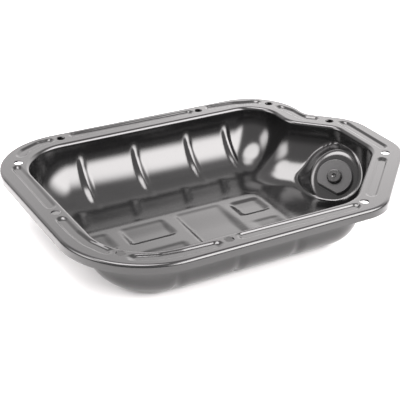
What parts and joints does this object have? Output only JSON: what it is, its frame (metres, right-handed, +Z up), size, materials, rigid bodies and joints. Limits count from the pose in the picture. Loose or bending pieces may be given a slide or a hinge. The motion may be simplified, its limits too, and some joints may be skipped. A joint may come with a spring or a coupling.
{
  "type": "engine oil pan",
  "caption": "Shallow pressed-steel oil pan: flat bolting flange with sealant grooves and turned-down skirt, ribbed bowl with patterned floor, and a screw-in drain plug.",
  "frame": {"origin": "on the surface that the pan stands on, under the middle of its outline", "axes": "+Z up out of the bowl, +X along the pan towards the drain end, +Y towards the long straight side with the ribs"},
  "size_m": [0.3, 0.229, 0.045],
  "materials": {
    "pan_coat": "semi-gloss black electro-coat on pressed sheet steel",
    "nut_coat": "semi-gloss black electro-coat on a machined steel plate",
    "washer_metal": "plain crush washer",
    "plug_steel": "dark passivated steel with cut threads"
  },
  "bodies": {
    "root": {"pan_shell": "pan_coat", "drain_nut": "nut_coat"},
    "washer": {"drain_washer": "washer_metal"},
    "plug": {"drain_plug": "plug_steel"}
  },
  "joints": [
    {"name": "washer_draw", "type": "slide", "parent": "root", "child": "washer", "axis": [0.5693, 0.5126, -0.6428], "range_m": [0, 0.00694]},
    {"name": "plug_turn", "type": "hinge", "parent": "washer", "child": "plug", "pos_m": [0.10584, -0.01232, 0.01466], "axis": [0.5693, 0.5126, -0.6428], "range_deg": [0, 2000]}
  ],
  "couplings": [
    {"joint": "plug_turn", "follows": "washer_draw", "rad_per_m": 5026.5}
  ]
}
